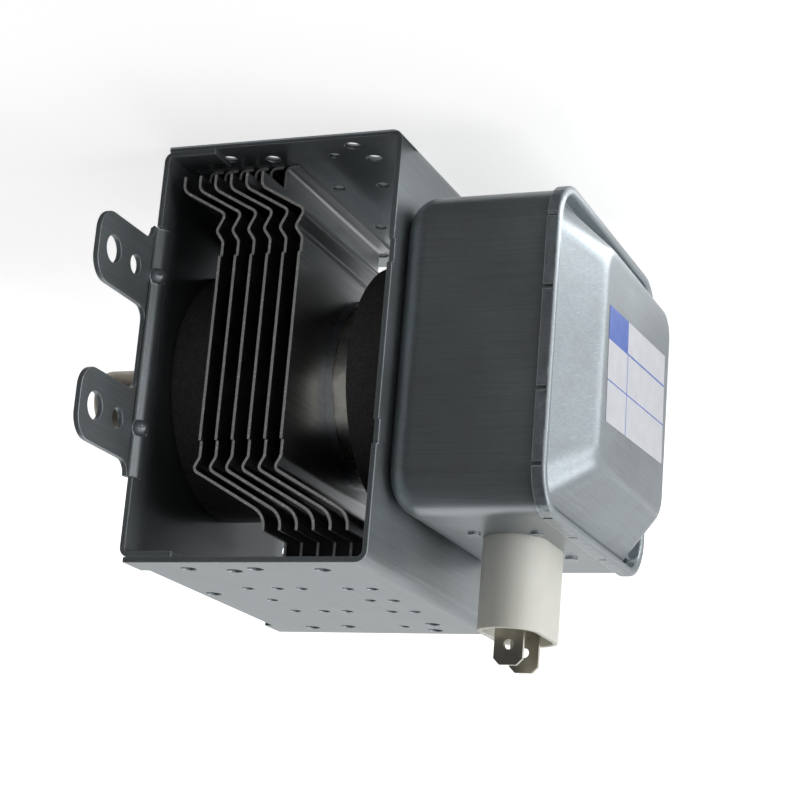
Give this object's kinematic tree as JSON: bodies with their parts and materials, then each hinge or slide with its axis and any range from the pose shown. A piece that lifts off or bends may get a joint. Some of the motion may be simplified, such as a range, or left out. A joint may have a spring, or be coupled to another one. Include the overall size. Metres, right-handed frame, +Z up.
{
  "type": "magnetron",
  "caption": "Air-cooled microwave-oven magnetron: folded steel yoke, ring magnets, finned tube with antenna cap, and a crimped filter box with a two-blade connector.",
  "frame": {"origin": "centre of the rectangle of the four outer ear holes, on the outer face of the ears, which is on the tube's axis", "axes": "+X along the tube towards the antenna, -X towards the filter box; Y along the cooling air; +Z up, the way the connector points"},
  "size_m": [0.1259, 0.12, 0.105],
  "materials": {
    "galvanised": "satin galvanised sheet",
    "ferrite": "matt near-black ferrite",
    "fin_aluminium": "plain rolled sheet",
    "copper": "plain copper",
    "nickel_steel": "nickel-plated steel",
    "refractory_metal": "dark tungsten and molybdenum",
    "white_ceramic": "unglazed alumina",
    "cream_plastic": "cream moulded thermoset",
    "tinned_brass": "tinned strip",
    "wire_mesh": "knitted wire"
  },
  "bodies": {
    "root": {"yoke_channel": "galvanised", "mounting_plate": "galvanised", "magnet_antenna_side": "ferrite", "magnet_filter_side": "ferrite", "fin_1": "fin_aluminium", "fin_2": "fin_aluminium", "fin_3": "fin_aluminium", "fin_4": "fin_aluminium", "fin_5": "fin_aluminium", "fin_6": "fin_aluminium", "anode_cylinder": "copper", "anode_vanes": "copper", "strap_small_antenna_side": "copper", "strap_large_antenna_side": "copper", "strap_small_filter_side": "copper", "strap_large_filter_side": "copper", "pole_piece_antenna_side": "nickel_steel", "pole_piece_filter_side": "nickel_steel", "seal_sleeve_antenna_side": "nickel_steel", "seal_sleeve_filter_side": "nickel_steel", "filament": "refractory_metal", "end_hat_antenna_side": "refractory_metal", "end_hat_filter_side": "refractory_metal", "centre_lead": "refractory_metal", "side_lead": "refractory_metal", "stem_ceramic": "white_ceramic", "stem_terminal_1": "nickel_steel", "stem_terminal_2": "nickel_steel", "antenna_lead": "copper", "antenna_ceramic": "white_ceramic", "exhaust_tube": "copper", "antenna_cap": "nickel_steel", "mesh_gasket": "wire_mesh", "filter_case": "galvanised", "filter_lid": "galvanised", "choke_core_1": "ferrite", "choke_core_2": "ferrite", "choke_coil_1": "copper", "choke_coil_2": "copper", "capacitor_flange": "galvanised", "capacitor_body": "cream_plastic", "connector_sleeve": "cream_plastic", "terminal_blade_1": "tinned_brass", "terminal_blade_2": "tinned_brass", "flange_rivets": "nickel_steel"}
  },
  "joints": []
}
